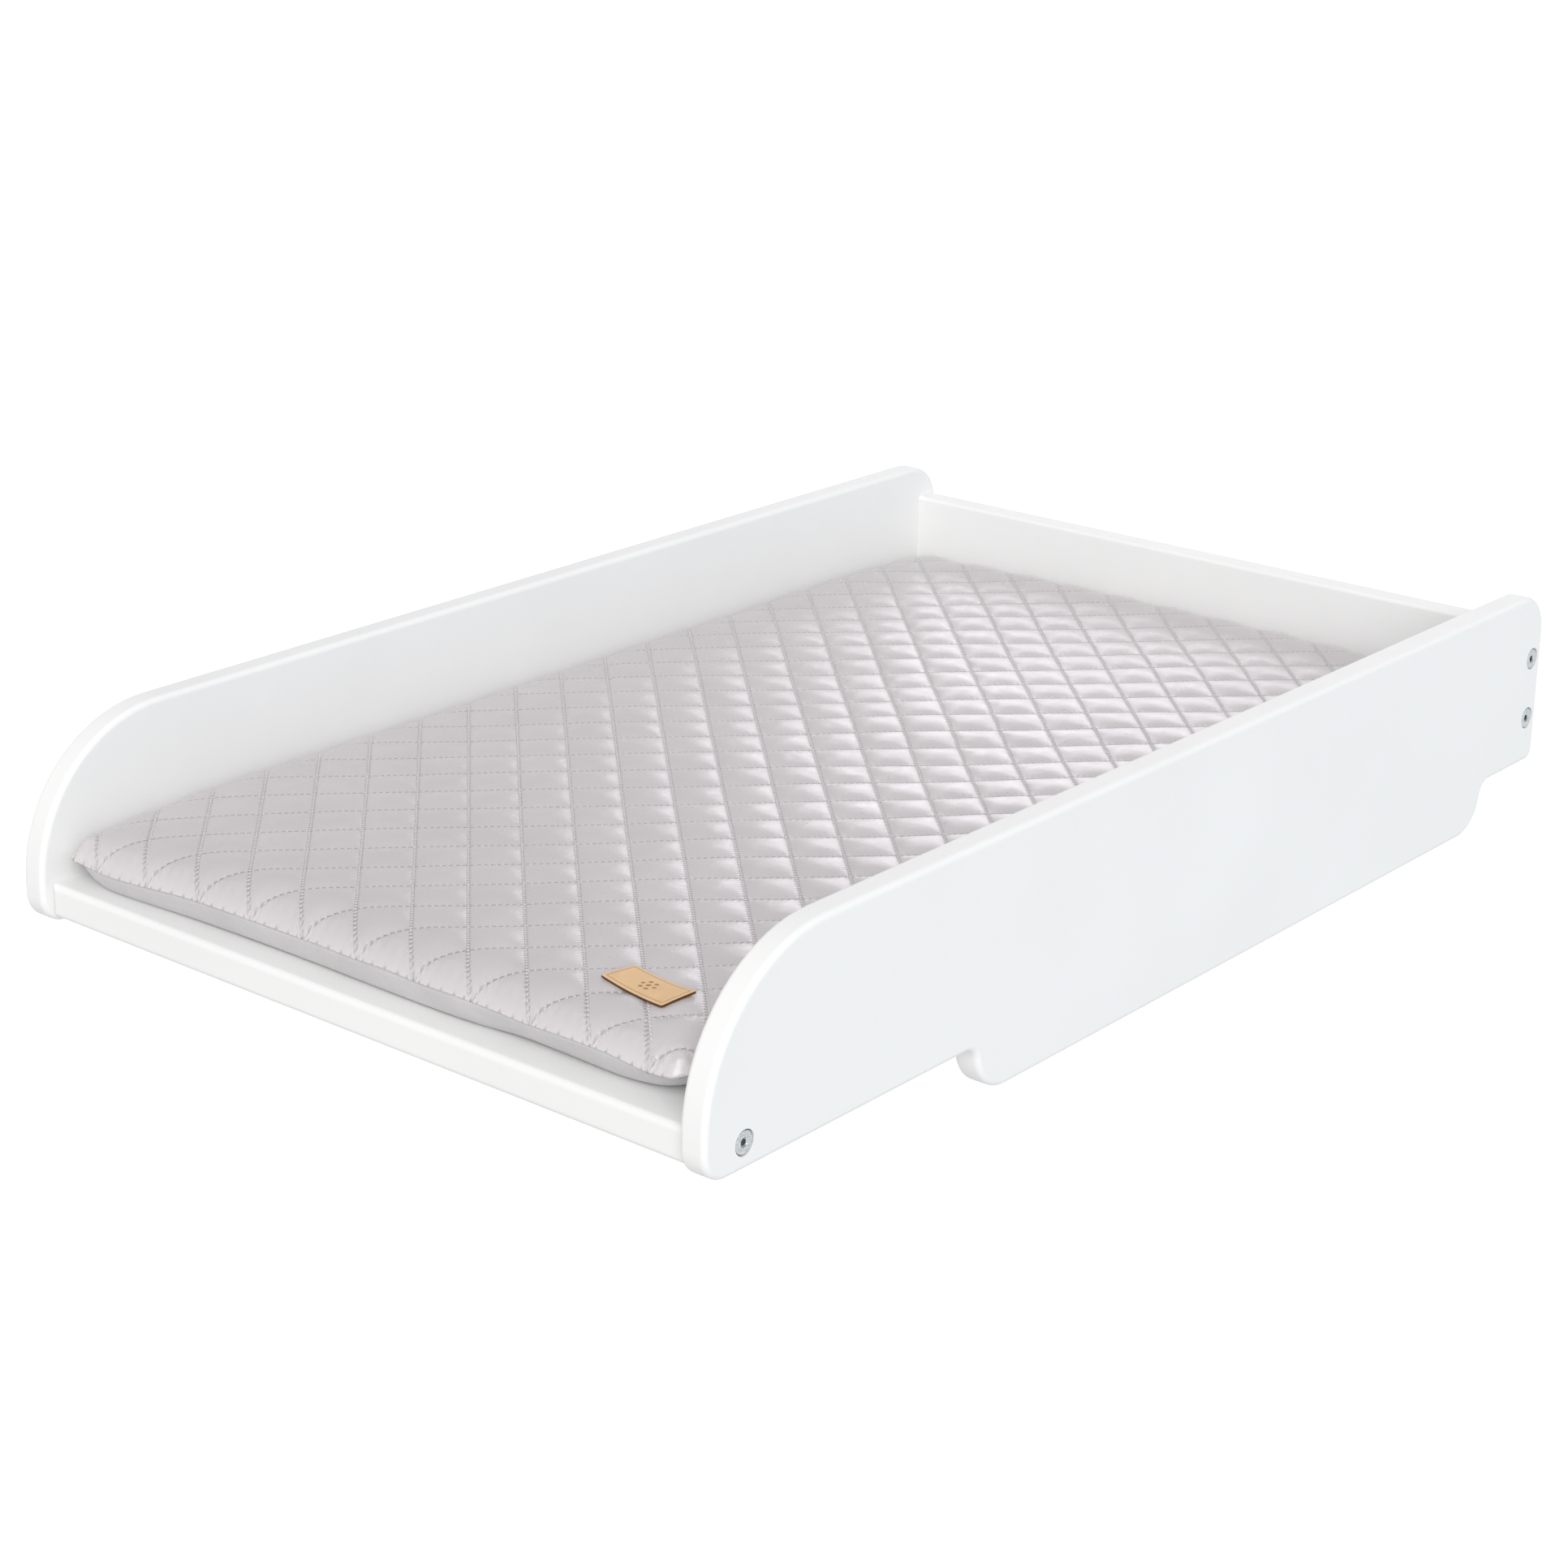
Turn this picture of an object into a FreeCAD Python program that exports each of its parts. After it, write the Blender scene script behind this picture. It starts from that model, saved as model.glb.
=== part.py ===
"""A changing tray that stands on the rails of a cot, with a loose quilted pad lying in it.

Two shaped side panels carry a base board and a low back panel. Bolts with barrel nuts and wooden
dowels hold the boards together. Each side panel hangs below the base in a tab that drops between
the cot's rails, and the steps in front of and behind the tab rest on the rails.

Millimetres. X runs across the tray, Y from the open front (-) to the back panel (+), Z up.
The origin is on the floor plane, in the middle of the tray.
"""

import FreeCAD
import Part
import math
import os

# Overall size
WIDTH = 558.0
DEPTH = 900.0
HEIGHT = 158.0
FRONT_Y = -DEPTH / 2
REAR_Y = DEPTH / 2

# Side panels
PANEL_THICK = 18.0
INNER_X = WIDTH / 2 - PANEL_THICK
STEP_Z = 33.0
FRONT_STEP_END = 226.5
REAR_STEP_START = 837.5
FRONT_TOP_R = 100.0
FRONT_FOOT_R = 18.0
REAR_TOP_R = 30.0
REAR_FOOT_R = 8.0
TAB_HOLLOW_R = 11.0
TAB_ROUND_R = 28.0
PANEL_EDGE_R = 3.5

# Base board and back panel
BASE_Z = 38.0
BASE_THICK = 22.0
BASE_TOP_Z = BASE_Z + BASE_THICK
BASE_MID_Z = BASE_Z + BASE_THICK / 2
BASE_FRONT_Y = FRONT_Y + 7.0
BASE_EDGE_R = 4.0
BACK_THICK = 18.0
BACK_REAR_Y = REAR_Y - 4.0
BACK_FRONT_Y = BACK_REAR_Y - BACK_THICK
BACK_MID_Y = BACK_REAR_Y - BACK_THICK / 2
BACK_TOP_Z = 134.0
BACK_EDGE_R = 3.0

# Connector bolts (M6 with a flat hexagon-socket head) and their barrel nuts
BOLT_PLACES = {
    "front": (FRONT_Y + 32.0, BASE_MID_Z),
    "rear_upper": (BACK_MID_Y, 110.0),
    "rear_lower": (BACK_MID_Y, 66.0),
}
BOLT_R = 3.0
BOLT_REACH = 49.5
BOLT_END_CHAMFER = 0.8
HEAD_R = 7.25
HEAD_THICK = 2.2
HEAD_SUNK = 0.4
HEAD_EDGE_R = 0.9
SOCKET_WIDTH = 4.0
SOCKET_DEPTH = 3.4
SOCKET_LEAD = 0.7
HEAD_HOLE_R = 7.75
SHANK_HOLE_R = 3.5
SHANK_HOLE_DEPTH = 37.0
NUT_R = 5.0
NUT_LENGTH = 12.0
NUT_FROM_END = 27.0
NUT_HOLE_R = 5.1
NUT_THREAD_R = 3.02
NUT_SLOT_WIDTH = 1.2
NUT_SLOT_DEPTH = 1.4

# Dowels
DOWEL_R = 4.0
DOWEL_LENGTH = 30.0
DOWEL_CHAMFER = 0.8
DOWEL_IN_PANEL = 10.0
DOWEL_HOLE_R = 4.03
DOWEL_HOLE_SPARE = 0.5
SIDE_DOWEL_Y = {"front": FRONT_Y + 64.0, "middle": 0.0, "rear": FRONT_Y + 820.0}
BACK_DOWEL_X = {"left": -190.0, "middle": 0.0, "right": 190.0}

# Pad
PAD_LEFT_X = -258.5
PAD_RIGHT_X = 251.5
PAD_FRONT_Y = FRONT_Y + 20.0
PAD_REAR_Y = FRONT_Y + 877.0
PAD_Z = BASE_TOP_Z + 0.3
PAD_THICK = 38.0
PAD_TOP_Z = PAD_Z + PAD_THICK
SEAM_Z = PAD_Z + 18.0
PAD_CORNER_R = 25.0
PAD_TOP_EDGE_R = 18.0
PAD_UNDER_EDGE_R = 14.0
FABRIC = 1.0
WADDING = 4.0

# Label on the pad
LABEL_SIZE = (51.0, 25.5, 1.2)
LABEL_PLACE = (179.0, FRONT_Y + 68.0)
LABEL_TURN = -7.0
LABEL_CORNER_R = 1.2

ALONG_X = FreeCAD.Vector(1, 0, 0)
ALONG_Y = FreeCAD.Vector(0, 1, 0)
ALONG_Z = FreeCAD.Vector(0, 0, 1)
CENTRE = FreeCAD.Vector(0, 0, 0)


def save(shape, node):
    """Writes one sub-part."""
    shape.exportStep("parts/" + node + ".step")


def box(low, high):
    """A box from its lowest corner to its highest."""
    sizes = [high[i] - low[i] for i in range(3)]
    return Part.makeBox(*sizes, FreeCAD.Vector(*low))


def rod(radius, start, direction, length):
    """A plain cylinder that starts at a point and runs along a direction."""
    return Part.makeCylinder(radius, length, FreeCAD.Vector(*start), direction)


def mirrored(shape):
    """The same piece on the other side of the tray."""
    return shape.mirror(CENTRE, ALONG_X)


def outline_point(y, z):
    """A point on the inner face of the right side panel."""
    return FreeCAD.Vector(INNER_X, y, z)


def line(start, end):
    return Part.LineSegment(start, end).toShape()


def arc(centre_y, centre_z, radius, from_deg, to_deg):
    """An arc in the panel's plane; angles run from +Y towards +Z."""
    points = []
    for angle in (from_deg, (from_deg + to_deg) / 2, to_deg):
        turn = math.radians(angle)
        y = centre_y + radius * math.cos(turn)
        z = centre_z + radius * math.sin(turn)
        points.append(outline_point(y, z))
    return Part.Arc(*points).toShape()


def tab_end(step_y, toward):
    """The S-shaped end of a tab, from the step down to the tab's flat bottom.

    toward is +1 where the tab lies towards +Y from the step, and -1 where it lies towards -Y.
    Returns the hollow arc, the round arc and the Y where the flat bottom begins.
    """
    reach = TAB_HOLLOW_R + TAB_ROUND_R
    turn = math.degrees(math.acos((reach - STEP_Z) / reach))
    bottom_y = step_y + toward * reach * math.sin(math.radians(turn))
    hollow = arc(step_y, STEP_Z - TAB_HOLLOW_R, TAB_HOLLOW_R, 90, 90 - toward * turn)
    rounded = arc(bottom_y, TAB_ROUND_R, TAB_ROUND_R, 270 - toward * turn, 270)
    return hollow, rounded, bottom_y


def side_outline():
    """The closed outline of a side panel."""
    front_step_y = FRONT_Y + FRONT_STEP_END
    rear_step_y = FRONT_Y + REAR_STEP_START
    front_hollow, front_round, front_bottom_y = tab_end(front_step_y, 1)
    rear_hollow, rear_round, rear_bottom_y = tab_end(rear_step_y, -1)
    foot_y = FRONT_Y + FRONT_FOOT_R
    foot_z = STEP_Z + FRONT_FOOT_R
    shoulder_y = FRONT_Y + FRONT_TOP_R
    shoulder_z = HEIGHT - FRONT_TOP_R
    heel_y = REAR_Y - REAR_FOOT_R
    heel_z = STEP_Z + REAR_FOOT_R
    crest_y = REAR_Y - REAR_TOP_R
    crest_z = HEIGHT - REAR_TOP_R
    edges = [
        line(outline_point(FRONT_Y, foot_z), outline_point(FRONT_Y, shoulder_z)),
        arc(shoulder_y, shoulder_z, FRONT_TOP_R, 180, 90),
        line(outline_point(shoulder_y, HEIGHT), outline_point(crest_y, HEIGHT)),
        arc(crest_y, crest_z, REAR_TOP_R, 90, 0),
        line(outline_point(REAR_Y, crest_z), outline_point(REAR_Y, heel_z)),
        arc(heel_y, heel_z, REAR_FOOT_R, 0, -90),
        line(outline_point(heel_y, STEP_Z), outline_point(rear_step_y, STEP_Z)),
        rear_hollow,
        rear_round,
        line(outline_point(rear_bottom_y, 0), outline_point(front_bottom_y, 0)),
        front_round,
        front_hollow,
        line(outline_point(front_step_y, STEP_Z), outline_point(foot_y, STEP_Z)),
        arc(foot_y, foot_z, FRONT_FOOT_R, 270, 180),
    ]
    return Part.Wire(Part.__sortEdges__(edges))


def bolt_holes(y, z):
    """The sunk head's hole and the shank's hole through the right side panel."""
    head_floor_x = WIDTH / 2 - HEAD_SUNK - HEAD_THICK
    head = rod(HEAD_HOLE_R, (head_floor_x, y, z), ALONG_X, PANEL_THICK)
    shank = rod(SHANK_HOLE_R, (INNER_X - 1, y, z), ALONG_X, PANEL_THICK + 2)
    return head.fuse(shank)


def side_panel():
    """The right side panel, with rounded edges, bolt holes and blind dowel holes."""
    panel = Part.Face(side_outline()).extrude(ALONG_X * PANEL_THICK)
    rims = [e for e in panel.Edges if e.BoundBox.XLength < 0.01]
    panel = panel.makeFillet(PANEL_EDGE_R, rims)
    for y, z in BOLT_PLACES.values():
        panel = panel.cut(bolt_holes(y, z))
    for y in SIDE_DOWEL_Y.values():
        start = (INNER_X - 1, y, BASE_MID_Z)
        depth = DOWEL_IN_PANEL + DOWEL_HOLE_SPARE + 1
        panel = panel.cut(rod(DOWEL_HOLE_R, start, ALONG_X, depth))
    return panel


def on_both_sides(board, tool):
    """Cuts a hole into a board at the right end and its mirror image at the left end."""
    return board.cut(tool).cut(mirrored(tool))


def shank_hole(y, z):
    """The hole for a bolt's shank in the end of a board."""
    return rod(SHANK_HOLE_R, (INNER_X - SHANK_HOLE_DEPTH, y, z), ALONG_X, SHANK_HOLE_DEPTH + 1)


def base_board():
    """The board that the pad lies on, with a rounded front."""
    low = (-INNER_X, BASE_FRONT_Y, BASE_Z)
    high = (INNER_X, BACK_FRONT_Y, BASE_TOP_Z)
    board = box(low, high)
    front = [e for e in board.Edges if e.BoundBox.YMax < BASE_FRONT_Y + 0.01]
    board = board.makeFillet(BASE_EDGE_R, front)
    y, z = BOLT_PLACES["front"]
    board = on_both_sides(board, shank_hole(y, z))
    nut_depth = BASE_THICK / 2 + NUT_LENGTH / 2
    nut_start = (INNER_X - NUT_FROM_END, y, BASE_Z - 1)
    board = on_both_sides(board, rod(NUT_HOLE_R, nut_start, ALONG_Z, nut_depth + 1))
    depth = DOWEL_LENGTH - DOWEL_IN_PANEL + DOWEL_HOLE_SPARE
    for dowel_y in SIDE_DOWEL_Y.values():
        start = (INNER_X - depth, dowel_y, BASE_MID_Z)
        board = on_both_sides(board, rod(DOWEL_HOLE_R, start, ALONG_X, depth + 1))
    for x in BACK_DOWEL_X.values():
        start = (x, BACK_FRONT_Y - depth, BASE_MID_Z)
        board = board.cut(rod(DOWEL_HOLE_R, start, ALONG_Y, depth + 1))
    return board


def back_panel():
    """The low board across the back, with a rounded top."""
    low = (-INNER_X, BACK_FRONT_Y, BASE_Z)
    high = (INNER_X, BACK_REAR_Y, BACK_TOP_Z)
    board = box(low, high)
    top = [e for e in board.Edges if e.BoundBox.ZMin > BACK_TOP_Z - 0.01 and e.Length > WIDTH / 2]
    board = board.makeFillet(BACK_EDGE_R, top)
    nut_depth = BACK_THICK / 2 + NUT_LENGTH / 2
    for name in ("rear_upper", "rear_lower"):
        y, z = BOLT_PLACES[name]
        board = on_both_sides(board, shank_hole(y, z))
        nut_start = (INNER_X - NUT_FROM_END, BACK_REAR_Y - nut_depth, z)
        board = on_both_sides(board, rod(NUT_HOLE_R, nut_start, ALONG_Y, nut_depth + 1))
    depth = DOWEL_IN_PANEL + DOWEL_HOLE_SPARE
    for x in BACK_DOWEL_X.values():
        start = (x, BACK_FRONT_Y - 1, BASE_MID_Z)
        board = board.cut(rod(DOWEL_HOLE_R, start, ALONG_Y, depth + 1))
    return board


def hexagon(x, width, depth):
    """A six-sided prism that reaches from x inwards along -X."""
    corners = []
    for i in range(7):
        turn = math.radians(60 * i + 30)
        radius = width / math.sqrt(3)
        corners.append(FreeCAD.Vector(x, radius * math.cos(turn), radius * math.sin(turn)))
    return Part.Face(Part.makePolygon(corners)).extrude(ALONG_X * -depth)


def connector_bolt(y, z):
    """A bolt whose flat head lies just below the outside of the right side panel."""
    face_x = WIDTH / 2 - HEAD_SUNK
    head = rod(HEAD_R, (face_x - HEAD_THICK, 0, 0), ALONG_X, HEAD_THICK)
    rim = [e for e in head.Edges if e.BoundBox.XMin > face_x - 0.01]
    head = head.makeFillet(HEAD_EDGE_R, rim)
    shank = rod(BOLT_R, (face_x - BOLT_REACH, 0, 0), ALONG_X, BOLT_REACH - 1)
    tip = [e for e in shank.Edges if e.BoundBox.XMax < face_x - BOLT_REACH + 0.01]
    shank = shank.makeChamfer(BOLT_END_CHAMFER, tip)
    mouth_r = SOCKET_WIDTH / math.sqrt(3) + SOCKET_LEAD
    mouth_start = FreeCAD.Vector(face_x - SOCKET_LEAD, 0, 0)
    mouth = Part.makeCone(mouth_r - SOCKET_LEAD, mouth_r, SOCKET_LEAD, mouth_start, ALONG_X)
    bolt = head.fuse(shank).cut(hexagon(face_x, SOCKET_WIDTH, SOCKET_DEPTH)).cut(mouth)
    return bolt.translate(FreeCAD.Vector(0, y, z))


def barrel_nut():
    """A slotted cross dowel about the origin, along Z, threaded along X and slotted at the bottom."""
    nut = rod(NUT_R, (0, 0, -NUT_LENGTH / 2), ALONG_Z, NUT_LENGTH)
    nut = nut.cut(rod(NUT_THREAD_R, (-NUT_R - 1, 0, 0), ALONG_X, 2 * NUT_R + 2))
    half_width = NUT_SLOT_WIDTH / 2
    slot_top = NUT_SLOT_DEPTH - NUT_LENGTH / 2
    low = (-NUT_R - 1, -half_width, -NUT_LENGTH)
    return nut.cut(box(low, (NUT_R + 1, half_width, slot_top)))


def fasteners():
    """Bolts and barrel nuts for both sides, each as (node, solid)."""
    nut_x = INNER_X - NUT_FROM_END
    made = []
    for place, (y, z) in BOLT_PLACES.items():
        bolt = connector_bolt(y, z)
        nut = barrel_nut()
        if place != "front":
            nut.rotate(CENTRE, ALONG_X, 90)
        nut.translate(FreeCAD.Vector(nut_x, y, z))
        made.append(("connector_bolt_" + place + "_right", bolt))
        made.append(("connector_bolt_" + place + "_left", mirrored(bolt)))
        made.append(("barrel_nut_" + place + "_right", nut))
        made.append(("barrel_nut_" + place + "_left", mirrored(nut)))
    return made


def dowel(start, direction):
    """A round wooden dowel with chamfered ends."""
    pin = rod(DOWEL_R, start, direction, DOWEL_LENGTH)
    rims = [e for e in pin.Edges if len(e.Vertexes) == 1]
    return pin.makeChamfer(DOWEL_CHAMFER, rims)


def dowels():
    """The dowels between the base board and its three neighbours, each as (node, solid)."""
    into_board = DOWEL_LENGTH - DOWEL_IN_PANEL
    made = []
    for place, y in SIDE_DOWEL_Y.items():
        pin = dowel((INNER_X - into_board, y, BASE_MID_Z), ALONG_X)
        made.append(("dowel_" + place + "_right", pin))
        made.append(("dowel_" + place + "_left", mirrored(pin)))
    for place, x in BACK_DOWEL_X.items():
        pin = dowel((x, BACK_FRONT_Y - into_board, BASE_MID_Z), ALONG_Y)
        made.append(("dowel_back_" + place, pin))
    return made


def pad_layer(inset, bottom_z, top_z, round_top):
    """A slab in the pad's plan, drawn in by inset, with its top or its bottom rim rounded."""
    low = (PAD_LEFT_X + inset, PAD_FRONT_Y + inset, bottom_z)
    high = (PAD_RIGHT_X - inset, PAD_REAR_Y - inset, top_z)
    slab = box(low, high)
    corners = [e for e in slab.Edges if e.BoundBox.ZLength > 1]
    slab = slab.makeFillet(PAD_CORNER_R - inset, corners)
    if round_top:
        rim = [e for e in slab.Edges if e.BoundBox.ZMin > top_z - 0.01]
        return slab.makeFillet(PAD_TOP_EDGE_R - inset, rim)
    rim = [e for e in slab.Edges if e.BoundBox.ZMax < bottom_z + 0.01]
    return slab.makeFillet(PAD_UNDER_EDGE_R - inset, rim)


def pad():
    """The pad's layers, each as (node, solid): a cover in two halves, wadding and a foam core."""
    inside_wadding = FABRIC + WADDING
    cover_top = pad_layer(0, SEAM_Z, PAD_TOP_Z, True)
    under_cover = pad_layer(FABRIC, SEAM_Z, PAD_TOP_Z - FABRIC, True)
    core_top = pad_layer(inside_wadding, SEAM_Z, PAD_TOP_Z - inside_wadding, True)
    cover_bottom = pad_layer(0, PAD_Z, SEAM_Z, False)
    core_bottom = pad_layer(FABRIC, PAD_Z + FABRIC, SEAM_Z, False)
    return [
        ("quilted_top_cover", cover_top.cut(under_cover)),
        ("quilt_wadding", under_cover.cut(core_top)),
        ("foam_core", core_top.fuse(core_bottom)),
        ("bottom_cover", cover_bottom.cut(core_bottom)),
    ]


def leather_label():
    """The leather patch on the pad's top, near its front right corner."""
    length, width, thickness = LABEL_SIZE
    patch = box((-length / 2, -width / 2, 0), (length / 2, width / 2, thickness))
    corners = [e for e in patch.Edges if e.BoundBox.ZLength > thickness / 2]
    patch = patch.makeFillet(LABEL_CORNER_R, corners)
    patch.rotate(CENTRE, ALONG_Z, LABEL_TURN)
    return patch.translate(FreeCAD.Vector(*LABEL_PLACE, PAD_TOP_Z))


def main():
    os.makedirs("parts", exist_ok=True)
    panel = side_panel()
    save(panel, "side_panel_right")
    save(mirrored(panel), "side_panel_left")
    save(base_board(), "base_board")
    save(back_panel(), "back_panel")
    for node, solid in fasteners() + dowels() + pad():
        save(solid, node)
    save(leather_label(), "leather_label")


main()
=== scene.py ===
"""Looks for the changing tray and its quilted pad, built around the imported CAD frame. Metres."""

import math

import bmesh
import bpy
import numpy as np
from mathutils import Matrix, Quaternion, Vector
from mathutils.bvhtree import BVHTree


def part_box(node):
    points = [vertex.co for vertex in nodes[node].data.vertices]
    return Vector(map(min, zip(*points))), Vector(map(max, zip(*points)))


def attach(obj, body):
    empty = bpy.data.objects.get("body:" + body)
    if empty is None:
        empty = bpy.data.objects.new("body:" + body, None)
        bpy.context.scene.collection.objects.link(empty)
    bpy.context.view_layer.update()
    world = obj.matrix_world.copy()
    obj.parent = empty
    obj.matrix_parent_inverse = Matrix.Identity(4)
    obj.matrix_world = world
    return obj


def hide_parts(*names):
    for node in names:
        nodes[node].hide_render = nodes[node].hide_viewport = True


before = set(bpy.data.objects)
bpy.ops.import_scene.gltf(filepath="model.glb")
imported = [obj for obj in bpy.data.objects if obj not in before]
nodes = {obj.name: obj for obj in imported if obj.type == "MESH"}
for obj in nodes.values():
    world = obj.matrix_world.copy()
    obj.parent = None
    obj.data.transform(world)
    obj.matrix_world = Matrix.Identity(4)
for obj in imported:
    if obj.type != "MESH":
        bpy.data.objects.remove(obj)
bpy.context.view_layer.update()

MM = 0.001

# Camera and light
EYE = Vector((1.2731, -1.5886, 0.8053))
AIM = Vector((0.0317, -0.0907, 0.1))
LENS = 74.79
ROLL = math.radians(0.624)
FLOOR_SIZE = 60.0

# Pad, read from its CAD solids
top_low, top_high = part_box("quilted_top_cover")
under_low, under_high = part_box("bottom_cover")
CENTRE = ((top_low.x + top_high.x) / 2, (top_low.y + top_high.y) / 2)
HALF = ((top_high.x - top_low.x) / 2, (top_high.y - top_low.y) / 2)
FRONT_R = 9 * MM
REAR_R = 25 * MM
RIM = 0.3 * MM
SOFT_RIM = 9 * MM
DROOP_FADE = 12 * MM
SEAM_Z = under_high.z
REST_Z = under_low.z
STITCH_DROP = 1.8 * MM
RISE = top_high.z - SEAM_Z - STITCH_DROP
SHOULDER = 30 * MM
DROP = SEAM_Z - REST_Z

# Quilting: squares turned 45 degrees, with crossings at CROSSING and every PITCH along X and Y
PITCH = 45.5 * MM
CELL = PITCH / math.sqrt(2)
CROSSING = (112 * MM, -316.7 * MM)
STITCH = (3.4 * MM, 4.1 * MM)
STITCH_SIDES = 5
PILLOW = 2.6 * MM

# Leather label
LABEL_HALF = (25.5 * MM, 12.75 * MM)
LABEL_THICK = 1.6 * MM
LABEL_TURN = math.radians(-7)
LABEL_CELLS = (120, 60)
LABEL_PRESS = 0.28 * MM


def waves(x, y, length, seed, count=14):
    """Smooth noise of about that wavelength, near -1 to 1."""
    draw = np.random.default_rng(seed)
    angle = draw.random(count) * 2 * math.pi
    rate = 2 * math.pi / length * (0.6 + 0.8 * draw.random(count))
    phase = draw.random(count) * 2 * math.pi
    total = np.zeros(np.shape(x))
    for a, r, p in zip(angle, rate, phase):
        total = total + np.cos(r * (x * math.cos(a) + y * math.sin(a)) + p)
    return total * math.sqrt(2 / count) / 1.8


def inset(x, y):
    """How far a plan point is inside the seam."""
    radius = np.where(np.asarray(y) < CENTRE[1], FRONT_R, REAR_R)
    qx = np.abs(x - CENTRE[0]) - (HALF[0] - radius)
    qy = np.abs(y - CENTRE[1]) - (HALF[1] - radius)
    outside = np.hypot(np.maximum(qx, 0), np.maximum(qy, 0))
    return radius - outside - np.minimum(np.maximum(qx, qy), 0)


def outward(x, y):
    """The plan direction towards the nearest seam."""
    step = 0.5 * MM
    gx = inset(x - step, y) - inset(x + step, y)
    gy = inset(x, y - step) - inset(x, y + step)
    size = np.maximum(np.hypot(gx, gy), 1e-9)
    return gx / size, gy / size


def corner_near(x, y, reach):
    """1 at the pad's corners, fading over reach."""
    dx = HALF[0] - np.abs(x - CENTRE[0])
    dy = HALF[1] - np.abs(y - CENTRE[1])
    return np.exp(-((dx / reach) ** 2) - (dy / reach) ** 2)


def corner_far(x, y):
    """The distance to the nearest corner of the pad's box."""
    return np.hypot(HALF[0] - np.abs(x - CENTRE[0]), HALF[1] - np.abs(y - CENTRE[1]))


def lattice(x, y):
    """Quilting coordinates: the lines of stitches run where either is a whole number."""
    a = (x - CROSSING[0]) / PITCH
    b = (y - CROSSING[1]) / PITCH
    return a + b, a - b


def from_lattice(u, v):
    """The plan point at those quilting coordinates."""
    return CROSSING[0] + PITCH * (u + v) / 2, CROSSING[1] + PITCH * (u - v) / 2


def lattice_range():
    """The lowest and highest quilting coordinates over the pad's box, as whole numbers."""
    corners = [(CENTRE[0] + i * HALF[0], CENTRE[1] + j * HALF[1]) for i in (-1, 1) for j in (-1, 1)]
    ends = np.array([lattice(x, y) for x, y in corners])
    return np.floor(ends.min(0)).astype(int), np.ceil(ends.max(0)).astype(int)


def puff(x, y):
    """0 on the stitch lines, 1 in the middle of a diamond."""
    u, v = lattice(x, y)
    return np.abs(np.sin(math.pi * u) * np.sin(math.pi * v))


def lattice_mesh(divisions):
    """Flat quads along the quilting that cover the pad's box, closer together by the lines."""
    closeness = 0.45
    steps = np.arange(divisions) / divisions
    steps = steps - closeness * np.sin(2 * math.pi * steps) / (2 * math.pi)
    low, high = lattice_range()
    us = (np.arange(low[0], high[0])[:, None] + steps).ravel()
    vs = (np.arange(low[1], high[1])[:, None] + steps).ravel()
    u, v = np.meshgrid(us, vs, indexing="ij")
    x, y = from_lattice(u, v)
    inside = inset(x, y) > -CELL
    ids = np.arange(u.size).reshape(u.shape)
    keep = inside[:-1, :-1] & inside[1:, :-1] & inside[:-1, 1:] & inside[1:, 1:]
    quads = np.stack([ids[:-1, :-1], ids[:-1, 1:], ids[1:, 1:], ids[1:, :-1]], -1)[keep]
    used, quads = np.unique(quads, return_inverse=True)
    points = np.stack([x.ravel()[used], y.ravel()[used], np.zeros(len(used))], 1)
    mesh = bpy.data.meshes.new("plan")
    mesh.from_pydata(points.tolist(), [], quads.reshape(-1, 4).tolist())
    bm = bmesh.new()
    bm.from_mesh(mesh)
    bpy.data.meshes.remove(mesh)
    return bm


def plan_mesh(divisions, bands):
    """A flat mesh over the pad, its edges along the quilting, finer in bands beside the seam."""
    bm = lattice_mesh(divisions)
    trim(bm)
    for width, reach in bands:
        flat = np.array([v.co for v in bm.verts])
        deep = inset(flat[:, 0], flat[:, 1])
        close = (deep < width) & (corner_far(flat[:, 0], flat[:, 1]) < reach)
        near = {v for v, is_close in zip(bm.verts, close) if is_close}
        edges = [e for e in bm.edges if e.verts[0] in near or e.verts[1] in near]
        bmesh.ops.subdivide_edges(bm, edges=edges, cuts=1, use_grid_fill=True)
    if bm.faces[:][0].normal.z < 0:
        bmesh.ops.reverse_faces(bm, faces=bm.faces[:])
    return bm


def ring(depth, arc, short, long):
    """Plan points round the pad at that distance inside its seam, anticlockwise.

    arc, short and long count the points on a corner, a short side and a long side."""
    corners = ((1, -1, long), (1, 1, short), (-1, 1, long), (-1, -1, short))
    arcs = []
    for turn, (i, j, _) in enumerate(corners):
        radius = FRONT_R if j < 0 else REAR_R
        inner = max(radius, depth)
        hub = np.array([CENTRE[0] + i * (HALF[0] - inner), CENTRE[1] + j * (HALF[1] - inner)])
        angles = (turn - 1 + np.linspace(0, 1, arc)) * math.pi / 2
        reach = max(radius - depth, 0)
        arcs.append(hub + reach * np.stack([np.cos(angles), np.sin(angles)], 1))
    points = []
    for turn, (_, _, count) in enumerate(corners):
        start, end = arcs[turn][-1], arcs[(turn + 1) % 4][0]
        shares = np.linspace(0, 1, count + 2)[1:-1, None]
        points += [arcs[turn], start + shares * (end - start)]
    return np.concatenate(points)


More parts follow.
